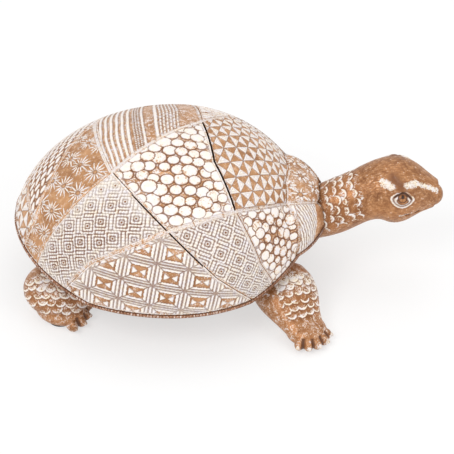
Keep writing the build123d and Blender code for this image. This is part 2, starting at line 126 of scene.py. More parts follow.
class Sheet:
    """A material and the nodes that paint it."""

    def __init__(self, name, **plain):
        self.material = bpy.data.materials.new(name)
        self.material.use_nodes = True
        self.tree = self.material.node_tree
        self.shader = self.tree.nodes["Principled BSDF"]
        for socket, value in plain.items():
            self.shader.inputs[socket.replace("_", " ")].default_value = value

    def node(self, kind, settings, *values, output=0, **named):
        """Any node: its settings first, then the values or links of its sockets in order or by name."""
        made = self.tree.nodes.new("ShaderNode" + kind)
        for key, value in settings.items():
            setattr(made, key, value)
        for place, value in list(enumerate(values)) + list(named.items()):
            if isinstance(value, Value):
                self.tree.links.new(value.socket, made.inputs[place])
            else:
                made.inputs[place].default_value = value
        return Value(self, made.outputs[output])

    def attribute(self, name):
        return self.node("Attribute", {"attribute_name": name}, output="Fac")

    def noise(self, grain, detail=3.0, roughness=0.5):
        """Noise with the given size of grain in millimetres, about 0.5 in the middle."""
        place = self.node("TexCoord", {}, output="Object")
        scale = 1 / (grain * MM)
        return self.node("TexNoise", {}, Vector=place, Scale=scale, Detail=detail, Roughness=roughness)

    def mix(self, factor, under, over):
        """Colour under, with over laid on by factor."""
        made = self.tree.nodes.new("ShaderNodeMix")
        made.data_type = "RGBA"
        for place, value in ((0, factor), (6, under), (7, over)):  # 6 and 7 are the sockets for colours
            if isinstance(value, Value):
                self.tree.links.new(value.socket, made.inputs[place])
            else:
                made.inputs[place].default_value = value if isinstance(value, float) else (*value, 1)
        return Value(self, made.outputs[2])

    def bump(self, height, depth, strength=1.0):
        """A normal from a height between 0 and 1 that stands for depth in millimetres."""
        return self.node("Bump", {}, Height=height, Distance=depth * MM, Strength=strength)

    def paint(self, **sockets):
        """The material, with what varies over the surface linked to the shader's sockets."""
        for name, value in sockets.items():
            self.tree.links.new(value.socket, self.shader.inputs[name.replace("_", " ")])
        return self.material


def linear(*colour):
    """A colour as the eye names it, 0 to 255, as Blender's own values."""
    return tuple(((c / 255 + 0.055) / 1.055) ** 2.4 if c > 10 else c / 255 / 12.92 for c in colour)


WARM_WASH = linear(250, 241, 226)
COOL_WASH = linear(240, 237, 241)
LINE_BROWN = linear(122, 74, 40)
JOINT_SHADE_BLACK = linear(30, 22, 18)
GLEAM = 0.45  # how metallic the bare copper is
ROUGHNESS = 0.4


def copper_wash(name, low, middle, high, warm=WARM_WASH):
    """Copper in three tones under a white wash. The mesh says where it is white, raised or dark: dark from 0
    to 1 is brown paint in a line, and from 1 to 2 black, the painted shade of an open joint."""
    sheet = Sheet(name, Specular_IOR_Level=0.45)
    white, dark, relief = (sheet.attribute(layer) for layer in ("white", "dark", "relief"))
    coarse = sheet.noise(13.0, 4.0)
    patch = sheet.noise(3.0, 3.0, 0.6)
    fine = sheet.noise(0.8, 3.0, 0.65)
    tone = sheet.mix((coarse * 2.2 - 0.75 + relief * 0.3).clamp(), low, middle)
    tone = sheet.mix(((patch - 0.5) * 2.2 + (fine - 0.5) * 1.2 + relief * 0.4).clamp(), tone, high)
    wash = (white + (patch - 0.5) * 1.1 + (fine - 0.5) * 1.9).between(0.3, 0.75)
    paste = sheet.mix((patch * 3 - 1).clamp(), warm, COOL_WASH)
    colour = sheet.mix(wash * 0.95, tone, paste)
    colour = sheet.mix((dark * (0.35 + fine * 1.0)).clamp(), colour, LINE_BROWN)
    # From 1 to 2, dark turns the colour black: painted shade of an open joint.
    colour = sheet.mix((dark - 1).clamp(), colour, JOINT_SHADE_BLACK)
    metal = (1 - wash) * GLEAM * (1 - dark).clamp()
    rough = (wash * 0.32 + ROUGHNESS - (fine - 0.5) * 0.2).clamp()
    return sheet.paint(Base_Color=colour, Metallic=metal, Roughness=rough, Normal=sheet.bump(fine, 0.1, 0.6))


# Crown panel with pebbles that partly lie over each other, a thin resin casting glued on the core. Each
# panel is an even, fine copy of its solid with its pattern sunk into the outer face, so that the tops of
# the carving stay flush. The tools that all seventeen panels share are here as well.
DOME_CENTRE = np.array((-34.27, 0.0, 33.5))
REAR_RADII = np.array((101.3, 86.5, 72.8))
FRONT_RADII = np.array((87.5, 86.5, 72.8))
COLLAR_CENTRE = np.array((32.23, 0.0, 46.0))  # the dome swells over the neck's root
COLLAR_RADII = np.array((30.0, 43.0, 32.0))
ARCH_MIDDLE = 47.3  # height of the middle of the arch that the neck passes through
PANEL_GRAIN = 0.44  # of the fine mesh
MERGE = 0.002  # vertices of a solid's loose triangles that are closer than this are one
CARVING_DEPTH = 0.75
POCKET_DEPTHS = (0.02, 1.0)  # of the carving that the solids have already
WALL_DEPTH = 1.0  # side walls are told by their deeper part
WALL_DROP = 1.2  # how far under the face that part begins
panel_paint = copper_wash(
    "washed_copper_carving", linear(166, 115, 74), linear(214, 161, 115), linear(240, 196, 152)
)


def dome_field(points):
    """How deep each point lies under the dome's surface, and the way out of the dome there."""
    depth = np.full(len(points), -np.inf)
    out = np.zeros(points.shape)
    swellings = ((DOME_CENTRE, FRONT_RADII, REAR_RADII), (COLLAR_CENTRE, COLLAR_RADII, COLLAR_RADII))
    for centre, front, rear in swellings:
        ray = points - centre
        slope = ray / np.where(ray[:, :1] > 0, front, rear) ** 2
        steep = np.linalg.norm(slope, axis=1)
        size = np.sqrt((ray * slope).sum(1))
        under = (1 - size) * size / steep
        deeper = under > depth
        depth = np.where(deeper, under, depth)
        out[deeper] = slope[deeper] / steep[deeper, None]
    return depth, out


def level_pockets(points):
    """Points of the pockets and grooves in a panel's face, brought up to the face."""
    depth, out = dome_field(points)
    shallow = (depth > POCKET_DEPTHS[0]) & (depth < POCKET_DEPTHS[1])
    return points + out * (depth * shallow)[:, None]


def fine_copy(node, name, grain, prepare=None):
    """A closed copy of a CAD node with an even, fine mesh, as a new object."""
    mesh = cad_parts[node].data.copy()
    piece = add(name, mesh)
    shape = bmesh.new()
    shape.from_mesh(mesh)
    bmesh.ops.remove_doubles(shape, verts=shape.verts, dist=MERGE * MM)
    if prepare:
        places = prepare(np.array([vert.co for vert in shape.verts]) / MM)
        for vert, place in zip(shape.verts, places * MM):
            vert.co = place
    shape.to_mesh(mesh)
    shape.free()
    remesh = piece.modifiers.new("even", "REMESH")
    remesh.mode = "VOXEL"
    remesh.voxel_size = grain * MM
    remesh.adaptivity = 0
    made = bpy.data.meshes.new_from_object(piece.evaluated_get(bpy.context.evaluated_depsgraph_get()))
    piece.modifiers.clear()
    piece.data = made
    made.materials.clear()
    shape = bmesh.new()
    shape.from_mesh(made)
    for _ in range(2):
        bmesh.ops.smooth_vert(
            shape, verts=shape.verts, factor=0.5, use_axis_x=True, use_axis_y=True, use_axis_z=True
        )
    bmesh.ops.recalc_face_normals(shape, faces=shape.faces)
    shape.to_mesh(made)
    shape.free()
    return piece


def read_points(mesh):
    """Vertices and their normals, in millimetres."""
    points, normals = np.zeros(len(mesh.vertices) * 3), np.zeros(len(mesh.vertices) * 3)
    mesh.vertices.foreach_get("co", points)
    mesh.vertex_normals.foreach_get("vector", normals)
    return points.reshape(-1, 3) / MM, normals.reshape(-1, 3)


def write_points(mesh, points, **layers):
    """New places of the vertices, and numbers for the paint."""
    mesh.vertices.foreach_set("co", (points * MM).ravel())
    for name, values in layers.items():
        layer = mesh.attributes.new(name, "FLOAT", "POINT")
        layer.data.foreach_set("value", np.asarray(values, float))
    mesh.update()
    mesh.shade_smooth()


def step(value, low, high):
    """0 below low, 1 above high, smooth between."""
    t = np.clip((value - low) / (high - low), 0, 1)
    return t * t * (3 - 2 * t)


def noise(x, y, seed=0):
    """Smooth noise between -1 and 1 with a grain of about 1."""
    total = 0
    for i in range(4):
        a = 1.7 * i + 0.7 * seed
        fx, fy = math.cos(2.4 * i + a) * (1.1 + 0.35 * i), math.sin(2.4 * i + a) * (1.1 + 0.35 * i)
        total = total + np.sin(2.1 * (x * fx + y * fy) + 3 * a + 1.3 * np.sin(1.7 * (x * fy - y * fx) + a))
    return total / 4


def scatter(i, j, seed):
    """A number between 0 and 1 for each cell, the same every time."""
    value = np.sin(i * 127.1 + j * 311.7 + seed * 74.7) * 43758.5453
    return value - np.floor(value)


def on_dome(rays):
    """Where rays from the dome's centre meet its surface, the collar's swelling included."""
    radii = np.where(rays[:, :1] > 0, FRONT_RADII, REAR_RADII)
    reach = 1 / np.linalg.norm(rays / radii, axis=1)
    to_collar = (COLLAR_CENTRE - DOME_CENTRE) / COLLAR_RADII
    ray = rays / COLLAR_RADII
    square, half, rest = (ray * ray).sum(1), ray @ to_collar, to_collar @ to_collar - 1
    room = half**2 - square * rest
    swelling = np.where(room > 0, (half + np.sqrt(np.maximum(room, 0))) / square, 0)
    return DOME_CENTRE + rays * np.maximum(reach, swelling)[:, None]


def corner(x_share, y_share):
    """The ray from the dome's centre to a panel's corner. A corner at the rim, just under the dome's widest
    level, is given its side, 1 or -1, as y_share."""
    z_share = -0.08 if abs(y_share) == 1 else math.sqrt(1 - x_share**2 - y_share**2)
    if abs(y_share) == 1:
        y_share = math.copysign(math.sqrt(1 - x_share**2), y_share)
    return np.array((x_share, y_share, z_share)) * (FRONT_RADII if x_share > 0 else REAR_RADII)


# Each seam's bead of filler: half its width, how white it is, how far it lies beside the joint, the part of
# the path that it covers, and the path from corner to corner. Beads beside a joint leave it open, and it
# is painted black, as shade.
filled_seams = {
    "ridge": (0.8, 0.6, 0, 0, 1, ((-0.695, -1), (-0.475, -0.80), (-0.02, -0.76))),
    "ridge_front": (1.25, 0.85, 0, 0, 1, ((-0.02, -0.76), (0.435, -0.58))),
    "ridge_throat": (0.9, 0.75, 0, 0, 1, ((0.435, -0.58), (0.80, -0.30), (0.915, -0.155))),
    "crown": (1.0, 0.9, 0, 0, 1, ((-0.36, -0.33), (0.20, 0.185))),
    "middle": (0.8, 0.75, 0, 0, 1, ((0.13, 0.62), (0.20, 0.185), (0.48, 0.52))),
    "crown_right": (0.5, 0.85, -0.3, 0, 1, ((0.20, 0.185), (0.29, -0.26))),
    "crown_front": (0.55, 0.85, -0.3, 0, 1, ((0.29, -0.26), (0.435, -0.58))),
    "crown_rear": (0.75, 0.75, 0, 0, 0.4, ((-0.36, -0.33), (-0.02, -0.76))),
    "crown_low": (0.45, 0.85, 0.8, 0.4, 1, ((-0.36, -0.33), (-0.02, -0.76))),
    "groove": (0.45, 0.85, 0.8, 0, 0.72, ((-0.02, -0.76), (0.305, -0.905))),
    "groove_end": (0.6, 0.8, 0, 0.72, 1, ((-0.02, -0.76), (0.305, -0.905))),
    "groove_foot": (0.6, 0.8, 0, 0, 1, ((0.305, -0.905), (0.60, -1))),
    "back": (1.1, 0.85, 0, 0, 1, ((-0.36, -0.33), (-0.49, 0.37))),
    "left": (0.8, 0.75, 0, 0, 1, ((-0.49, 0.37), (-0.42, 0.60), (0.13, 0.62), (0.48, 0.52), (0.775, 0.32))),
    "haunch": (0.7, 0.4, 0, 0, 1, ((-0.36, -0.33), (-0.635, -0.505), (-0.84, -1))),
    "leaf": (
        0.7, 0.4, 0, 0, 1, ((-0.49, 0.37), (-0.67, 0.015), (-0.74, -0.17), (-0.835, -0.38), (-0.92, -1))
    ),
    "tail": (0.7, 0.5, 0, 0, 1, ((-0.835, -0.38), (-0.89, 0.10), (-0.90, 1))),
    "shoulder": (0.85, 0.8, 0, 0, 1, ((0.435, -0.58), (0.525, -0.675), (0.61, -0.74), (0.735, -1))),
    "throat": (0.8, 0.6, 0, 0, 1, ((0.84, -1), (0.80, -0.30), (0.795, -0.13), (0.775, 0.32), (0.83, 1))),
    "left_front": (0.7, 0.6, 0, 0, 1, ((0.48, 0.52), (0.50, 1))),
    "left_rear": (0.7, 0.5, 0, 0, 1, ((-0.42, 0.60), (-0.72, 1))),
}


def seam_parts():
    """The straight parts of all seams: name, bead, and its two ends as rays from the dome's centre."""
    for name, (half, tone, beside, low, high, path) in filled_seams.items():
        ends = [corner(*place) for place in path]
        for number, (start, end) in enumerate(zip(ends, ends[1:])):
            first, last = start * (1 - low) + end * low, start * (1 - high) + end * high
            yield f"{name}_{number}", half, tone, beside, first, last


def seam_far(points, open_joints=True):
    """How far each point is from the nearest bead of filler, with those beside open joints or without."""
    rays = points - DOME_CENTRE
    near = np.full(len(points), np.inf)
    for _, half, _, beside, start, end in seam_parts():
        if beside and not open_joints:
            continue
        across = np.cross(start, end)
        across /= np.linalg.norm(across)
        between = (rays @ np.cross(across, start) > 0) & (rays @ np.cross(end, across) > 0)
        near = np.where(between, np.minimum(near, np.abs(rays @ across - beside) - half), near)
    return near


def edge_far(mesh, points, depth, facing, top):
    """How far each point of a panel's outer face is from its side walls."""
    corners = np.zeros(len(mesh.polygons) * 4, int)
    mesh.polygons.foreach_get("vertices", corners)
    corners = corners.reshape(-1, 4)
    wall = ((depth > WALL_DEPTH) & (np.abs(facing) < 0.5))[corners].all(1)
    walls = BVHTree.FromPolygons(points.tolist(), corners[wall].tolist())
    far = np.zeros(len(points))
    for k in np.nonzero(top)[0]:
        far[k] = math.sqrt(max(0.0, walls.find_nearest(points[k])[3] ** 2 - WALL_DROP**2))
    return far


def along_rows(points, place, even):
    """How far along and up a pattern's rows each point lies. The rows start at a place on the dome, given as
    shares of its radii, and climb by some degrees from level. An even pattern bends with the dome, so that
    its outer cells keep their size."""
    x_share, y_share, climb = place
    start = corner(x_share, y_share)
    outward = start / (FRONT_RADII if x_share > 0 else REAR_RADII) ** 2
    outward /= np.linalg.norm(outward)
    level = np.cross((0, 0, 1), outward)
    level /= np.linalg.norm(level)
    turn = math.radians(climb)
    along = level * math.cos(turn) + np.cross(outward, level) * math.sin(turn)
    rays = points - DOME_CENTRE
    flat = rays * ((start @ outward) / (rays @ outward))[:, None] - start
    if even:
        away = np.linalg.norm(flat, axis=1) / (start @ outward) + 1e-6
        flat = flat * (np.arctan(away) / away)[:, None]
    return flat @ along, flat @ np.cross(outward, along)


EDGE = (0.75, 1.05)  # a plain edge runs round every panel: the pattern begins between these distances
WALL_BROWN = 0.45
# The value of dark for black painted shade in an open joint.
OPEN_JOINT_SHADE = 2.0
NECK_SHADE = 26.0  # walls round the neck's arch, out to here, are brown as well, as painted shade


def carve(node, pattern, place, edge_white=0.6, edge_wash=0.0, even=False, **options):
    """A panel with its pattern sunk into the outer face. edge_white is how white its plain edge is, edge_wash
    how much whiter the pattern gets towards it. Along the beads of filler the face drops to a gutter."""
    piece = fine_copy(node, node.replace("panel_", "carving_"), PANEL_GRAIN, level_pockets)
    mesh = piece.data
    points, normals = read_points(mesh)
    depth, out = dome_field(points)
    facing = (normals * out).sum(1)
    top = (facing > 0.7) & (depth < 0.7)
    far = edge_far(mesh, points, depth, facing, top)
    relief, white, dark = pattern(*along_rows(points, place, even), **options)
    inside = step(far, *EDGE)
    gutter = 1 - step(seam_far(points), -0.15, 0.25)
    edge_line = step(far, 0.7, 0.85) * (1 - step(far, 1.1, 1.4)) * (1 - gutter)
    relief = (inside * relief + (1 - inside)) * (1 - gutter)
    border = edge_wash * (1 - step(far, 1.0, 9.0))
    white = inside * (white + border) + (1 - inside) * edge_white
    dark = np.maximum(inside * dark * (1 - border), edge_line * WALL_BROWN)
    lift = depth * step(far, 0.3, 0.6) * top - (1 - relief) * CARVING_DEPTH * step(far, 0.0, 0.4) * top
    by_neck = (points[:, 0] > 30) & (np.hypot(points[:, 1], points[:, 2] - ARCH_MIDDLE) < NECK_SHADE)
    filled = (seam_far(points, False) < 0.9) | by_neck
    # Side walls: black, painted shade, in an open joint; brown under the filler; brown round the neck's arch,
    # painted shade at the neck's root.
    dark = np.where(top, dark * (1 - gutter), np.where(filled, WALL_BROWN, OPEN_JOINT_SHADE))
    write_points(mesh, points + out * lift[:, None], relief=relief * top, white=white * top, dark=dark)
    mesh.materials.append(panel_paint)
    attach(piece, "root")
    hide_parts(node)


def pebbles(u, v, size=8.4, squash=0.88, seed=1, wash=0.8):
    """Pebbles in staggered rows that partly lie over each other: of those at a place, the highest takes it.
    size is their pitch in a row, squash the rows' pitch as a share of it, and wash how white they are."""
    x, y = u / size, v / (size * squash)
    i, j = np.floor(x), np.floor(y)
    rank, owner = np.zeros(x.shape), np.zeros(x.shape)
    room, full = np.full(x.shape, -9.0), np.ones(x.shape)
    for a in (-1, 0, 1):
        for b in (-1, 0, 1):
            ci, cj = i + a, j + b
            cx = ci + 0.25 + 0.34 * (scatter(ci, cj, seed) - 0.5) + 0.5 * (cj % 2)
            cy = cj + 0.5 + 0.34 * (scatter(ci, cj, seed + 3) - 0.5)
            reach = 0.45 + 0.22 * scatter(ci, cj, seed + 5)
            near = reach - np.hypot(x - cx, y - cy) * (1 + 0.05 * noise(x * 2, y * 2, seed))
            order = 0.1 + scatter(ci, cj, seed + 9)
            over = (near > 0) & (order > rank)
            room = np.where(over, near, np.where(rank > 0, room, np.maximum(room, near)))
            full = np.where(over, reach, full)
            owner = np.where(over, scatter(ci, cj, seed + 7), owner)
            rank = np.where(over, order, rank)
    edge = room * size
    body = step(edge, 0.0, 0.9)
    dome = np.sqrt(np.clip(room / full, 0, 1))
    relief = np.where(edge > 0, body * (0.55 + 0.3 * dome + 0.15 * rank), 0.12)
    # The dome term makes a pebble whiter in its middle and beige towards its rim: painted shading of its
    # dome.
    white = wash + 0.2 * (owner - 0.5) + 0.5 * (dome - 0.75) + 0.25 * noise(u / 1.7, v / 1.7, seed)
    ground = 0.4 + 0.3 * noise(u / 5, v / 5, seed)
    line = 1.1 - 1.1 * step(np.abs(edge - 0.1), 0.25, 0.65)
    return relief, np.where(edge > 0, white * (0.3 + 0.7 * body), ground), line


carve("panel_pebbles_crown", pebbles, (-0.066, -0.382, 0), wash=0.9, edge_wash=0.25)


# The other panels of pebbles, cast and glued in the same way: smaller ones, almost white, at the right
# shoulder and the same again on the left, where the photograph doesn't show the flank.
small_pebbles = {"size": 6.4, "edge_white": 0.8, "edge_wash": 0.3}
carve("panel_pebbles_shoulder", pebbles, (0.622, -0.64, 20), seed=4, **small_pebbles)
carve("panel_pebbles_left", pebbles, (0.66, 0.58, -20), seed=6, **small_pebbles)


# Long panel of ribs left of the crown, and the wrinkled one in front of it: cast resin like the rest. Ribs,
# a stippled band, rows of dashes and plain copper lie side by side and run down the slope.
stripe_bands = (  # from, to, pitch, share of the pitch that stands up, how white, length of dashes
    (-60.0, -10.8, 3.8, 0.58, 1.0, 0.0),
    (-10.4, -4.9, 1.8, 0.68, 1.0, 2.0),
    (-4.7, -2.5, 2.2, 0.80, 1.0, 0.0),
    (-2.4, 3.3, 0.0, 0.00, 0.2, 0.0),
    (3.4, 6.3, 2.9, 0.75, 1.0, 0.0),
    (6.5, 19.8, 2.2, 0.62, 0.95, 4.6),
    (20.0, 33.0, 0.0, 0.00, 0.25, 0.0),
    (33.4, 70.0, 3.2, 0.60, 0.9, 0.0),
)


def stripes(u, v):
    """Bands side by side, each of ribs, rows of dashes or plain copper."""
    u = u + 0.7 * noise(u / 22, v / 26, 2)
    relief, white, dark = np.full(u.shape, 0.35), np.full(u.shape, 0.2), np.zeros(u.shape)
    for low, high, pitch, wide, tint, dash in stripe_bands:
        inside = (u > low) & (u < high)
        if pitch:
            x = (u - low) / pitch
            part = x - np.floor(x)
            edge = np.minimum(part, wide - part) * pitch + 0.15 * noise(u / 1.5, v / 2.2, 5)
            if dash:
                cut = np.abs((v / dash + 0.5 * np.floor(x)) % 1 - 0.5) * dash
                edge = np.minimum(edge, cut - 0.25)
            top = step(edge, -0.25, 0.3)
            line = 1 - step(np.abs(edge + 0.1), 0.15, 0.5)
        else:
            top = line = 0.0
            edge = np.minimum(u - low, high - u)
            line = 0.5 * (1 - step(edge, 0.1, 0.4))
        relief = np.where(inside, 0.3 + 0.7 * top, relief)
        white = np.where(inside, top * tint + (1 - top) * 0.35, white)
        dark = np.where(inside, line * 0.75, dark)
    return relief, white, dark


def crinkles(u, v, pitch=2.6):
    """Wrinkled lines that part and meet."""
    x = u / pitch + 1.1 * noise(u / 9, v / 11, 5) + 0.5 * noise(u / 3.5, v / 5, 6)
    top = step(np.abs((x % 1.0) - 0.5) * 2, 0.25, 0.6)
    return 0.25 + 0.75 * top, 0.35 + 0.55 * top, (1 - top) * 0.5


carve("panel_stripes_back", stripes, (-0.153, 0.222, 154.5))
carve("panel_crinkle_left", crinkles, (0.25, 0.43, 140))


# Panels of flowers, right rear and above the neck, cast and glued like the others. The rear one has daisies
# with thin petals on copper, the small one over the neck has thick white petals.
def on_lattice(u, v, row, column):
    """Places counted in rows and columns of a slanting lattice."""
    area = row[0] * column[1] - row[1] * column[0]
    return (u * column[1] - v * column[0]) / area, (v * row[0] - u * row[1]) / area


BOSS = 1.0  # radius of a flower's middle; the petals begin a little outside it
STRAY = 1.4  # how far flowers lie off their lattice at most


def flowers(u, v, row, column, reach=7.8, petals=13, thick=0.66, tint=0.14, seed=3):
    """Flowers on a slanting lattice, each with pointed petals about a boss. reach is a petal's length, thick
    half its width, and tint how white the ground is."""
    x, y = on_lattice(u, v, row, column)
    i, j = np.round(x), np.round(y)
    top, boss, line = np.zeros(u.shape), np.zeros(u.shape), np.zeros(u.shape)
    for a in (-1, 0, 1):
        for b in (-1, 0, 1):
            ci, cj = i + a, j + b
            du = u - ci * row[0] - cj * column[0] - STRAY * (scatter(ci, cj, seed) - 0.5)
            dv = v - ci * row[1] - cj * column[1] - STRAY * (scatter(ci, cj, seed + 1) - 0.5)
            far = np.hypot(du, dv)
            turn = np.arctan2(dv, du) * petals / math.tau + scatter(ci, cj, seed + 2) + petals
            long = reach * (0.84 + 0.3 * scatter(np.floor(turn % petals), ci + 7 * cj, seed))
            beside = np.abs((turn % 1) - 0.5) * math.tau * far / petals
            half = thick * np.sqrt(np.clip(1 - far / long, 0, 1)) * (0.45 + 0.55 * step(far, 1.8, 4.5))
            near = half - beside
            petal = step(near, -0.2, 0.25) * step(far, BOSS + 0.3, BOSS + 0.9) * (far < long)
            top = np.maximum(top, petal)
            boss = np.maximum(boss, 1 - step(far, BOSS, BOSS + 0.4))
            ring = 1 - step(np.abs(far - BOSS - 0.55), 0.2, 0.5)
            rim = step(near, -0.8, -0.3) * (far < long) * 0.45
            line = np.maximum(line, (ring + rim) * (1 - petal))
    ground = 0.25 + 0.1 * noise(u / 2, v / 2, seed)
    white = np.where(top > 0.4, 1.0, tint + 0.2 * noise(u / 4, v / 4, seed)) * (1 - 0.75 * boss)
    return np.maximum(np.maximum(top, 0.85 * boss), ground), white, line * 0.65


small_flowers = {
    "row": (12.9, -5.0),
    "column": (1.8, 8.6),
    "reach": 4.9,
    "petals": 7,
    "thick": 1.25,
    "tint": 0.35,
}
carve("panel_flowers_rear", flowers, (-0.558, -0.41, 0), row=(13.6, 1.8), column=(2.4, -17.2))
carve("panel_flowers_throat", flowers, (0.849, -0.183, 0), **small_flowers)


# Narrow strip of leaf strokes at the rear, next to the daisies: a casting like the others. The strokes
# slant to either side by turns, like leaves on a stalk.
LEAF_LENGTH = 8.6
LEAF_PITCH = 3.9
LEAF_LEAN = 0.32


def leaves(u, v):
    """Leaf strokes, one after another in rows, that slant to either side by turns."""
    i = np.floor(v / LEAF_PITCH)
    lean = np.where(i % 2 == 0, LEAF_LEAN, -LEAF_LEAN)
    dv = v - (i + 0.5) * LEAF_PITCH
    x = u / LEAF_LENGTH + 0.5 * (i % 2) + 0.15 * noise(u / 9, v / 9, 3)
    du = (x - np.floor(x) - 0.5) * LEAF_LENGTH
    dv, du = dv - lean * du, du + lean * dv
    near = 1 - np.hypot(du / (0.5 * LEAF_LENGTH), dv / (0.46 * LEAF_PITCH))
    top = step(near, -0.02, 0.35)
    return 0.2 + 0.8 * top, 0.3 + 0.8 * top, (1 - step(np.abs(near), 0.06, 0.3)) * 1.1


carve("panel_leaves_rear", leaves, (-0.722, -0.27, -60))


# Panels of triangles, at the front and at the rear end, cast and glued like the others. Each square is
# parted by its diagonals: two triangles stand up and are white, two are sunk and copper, by turns, so that
# stars appear.
MARK_INSET = 1.15  # a fainter line lies this far inside each raised triangle


def pinwheels(u, v, row, column):
    """Cells parted by their diagonals, with opposite triangles raised by turns."""
    x, y = on_lattice(u, v, row, column)
    i, j = np.floor(x), np.floor(y)
    across, down = np.abs(x - i - 0.5), np.abs(y - j - 0.5)
    raised = (across < down) == ((i + j) % 2 == 0)
    size = math.hypot(*row)
    edge = np.minimum(np.abs(across - down) * 0.71, 0.5 - np.maximum(across, down)) * size
    edge = edge + 0.08 * noise(u / 1.6, v / 1.6, 4)
    top = raised * step(edge, 0.05, 0.55)
    mark = raised * (1 - step(np.abs(edge - MARK_INSET), 0.15, 0.4))
    white = np.where(raised, 1.15 - 0.35 * mark, 0.12 + 0.12 * noise(u / 5, v / 5, 2))
    return 0.15 + 0.85 * top, white, (1 - step(edge, 0.05, 0.32)) * 0.9 + mark * 0.3


carve("panel_pinwheels_front", pinwheels, (0.407, -0.218, 0), row=(7.9, -5.3), column=(-7.2, -8.9))
carve("panel_triangles_tail", pinwheels, (-0.879, -0.249, 0), row=(8.6, 6.8), column=(7.4, -8.6))


# Panels of interlocking squares over the right flank, in front of it, and on the left: squares in squares
# with toothed ridges, each cut short by its neighbours. They are castings like the others.
SQUARE_MATE = 13.3  # between the middles of a pair
SQUARE_GROOVES = (1.55, 3.46, 5.35)  # from a square's middle
TOOTH_PITCH = 1.9


def squares(u, v, row, column, tint=True):
    """Nested squares in pairs on a slanting lattice, each place taken by the nearest square. With tint, the
    grooves are darker and wider down the slope."""
    x, y = on_lattice(u, v, row, column)
    i, j = np.round(x), np.round(y)
    far, along = np.full(u.shape, np.inf), np.zeros(u.shape)
    for a in (-1, 0, 1):
        for b in (-2, -1, 0, 1, 2):
            for mate in (0.0, -SQUARE_MATE):
                du = u - (i + a) * row[0] - (j + b) * column[0] - mate
                dv = v - (i + a) * row[1] - (j + b) * column[1]
                reach = np.maximum(np.abs(du), np.abs(dv))
                closer = reach < far
                along = np.where(closer, np.where(np.abs(du) > np.abs(dv), dv, du), along)
                far = np.where(closer, reach, far)
    groove = np.full(u.shape, np.inf)
    for place in SQUARE_GROOVES:
        groove = np.minimum(groove, np.abs(far - place))
    tooth = step(np.abs((along / TOOTH_PITCH + 0.2 * noise(u, v, 3)) % 1 - 0.5) * 2, 0.12, 0.42)
    ridge = step(groove, 0.15, 0.5)
    outer = step(far, 1.6, 2.0)
    top = ridge * (1 - 0.5 * outer * (1 - tooth))
    dot = 1 - step(far, 0.45, 0.8)
    low = np.clip(0.55 - v / 40 + 0.35 * noise(u / 11, v / 11, 7), 0, 1) if tint else 0.7
    white = 0.65 + 0.3 * (1 - low) + 0.3 * top
    gap = 0.3 * (1 - tooth)
    line = 1 - step(groove, 0.08 + 0.12 * low + gap, 0.42 + 0.15 * low + gap)
    dark = np.maximum(line, 0.35 * outer * (1 - tooth))
    return top * (1 - 0.8 * dot), white * (1 - dot), np.maximum(dark * (0.55 + 0.5 * low), dot)


flank_squares = {"row": (21.95, 2.8), "column": (8.1, -10.24), "edge_wash": 0.25, "even": True}
shoulder_squares = {"row": (23.0, -2.9), "column": (8.4, 10.2), "tint": False}
carve("panel_squares_right", squares, (-0.356, -0.567, 16), **flank_squares)
carve("panel_squares_shoulder", squares, (0.252, -0.793, -30.8), **shoulder_squares)
carve("panel_squares_left", squares, (0.28, 0.80, 10), **flank_squares)


# Panels of fields with bow ties in the middle of both flanks, castings like the others. Mitred lines frame
# a sunk middle that holds two triangles, point to point.
FIELD_LENGTH = 19.3
FIELD_HEIGHT = 13.8
FIELD_LINES = (0.382, 0.49)  # lines round a field, as shares of it from its middle
LINE_HALF = 0.1
SUNK_HALF = (5.3, 3.59)  # half the sunk middle, along and up
BOW_KNOT = 0.42  # from the middle to a triangle's point
BOW_END = 4.14  # to its base
BOW_SPREAD = 2.2  # half its base


def bow_ties(u, v):
    """Fields of mitred lines about a sunk middle with a bow tie."""
    fx = (u / FIELD_LENGTH + 0.5) % 1 - 0.5
    fy = (v / FIELD_HEIGHT + 0.5) % 1 - 0.5
    across, up = np.abs(fx), np.abs(fy)
    far = np.maximum(across, up)
    scale = np.where(across > up, FIELD_LENGTH, FIELD_HEIGHT)
    groove = np.full(u.shape, np.inf)
    for place in FIELD_LINES:
        groove = np.minimum(groove, np.abs(far - place) * scale - LINE_HALF)
    mitre = np.abs(across - up) * 12
    line = 1 - step(np.minimum(groove, mitre) + 0.06 * noise(u, v, 3), 0.2, 0.5)
    along, over = across * FIELD_LENGTH, up * FIELD_HEIGHT
    wall = np.minimum(SUNK_HALF[0] - along, SUNK_HALF[1] - over)
    slope = BOW_SPREAD * (along - BOW_KNOT) / (BOW_END - BOW_KNOT)
    bow_edge = np.minimum(slope - over, BOW_END - along)
    bow = step(bow_edge, -0.12, 0.3)
    bow_line = 1 - step(np.abs(bow_edge + 0.1), 0.15, 0.45)
    middle = wall > 0
    relief = np.where(middle, bow * 0.95, 1 - 0.85 * line)
    white = np.where(middle, 0.22 + 0.9 * bow, 0.98 + 0.12 * noise(u / 5, v / 5, 9))
    dark = np.where(middle, np.maximum(bow_line * 0.6, 1 - step(wall, 0.1, 0.6)), line * 0.9)
    return relief, white, dark


carve("panel_bows_right", bow_ties, (0.0, -0.941, -10.5), even=True, edge_wash=0.2)
carve("panel_bows_left", bow_ties, (-0.33, 0.85, 8), even=True, edge_wash=0.2)


# Small panels with a fringe, over the forelegs on both sides of the neck: castings like the others. Ribs
# run up one side, a slanting white hatch lies next to them, and the rest is plain copper.
RIB_PITCH = 3.0
HATCH_PITCH = 2.4
HATCH_START = -1.5
PLAIN_START = 11.3


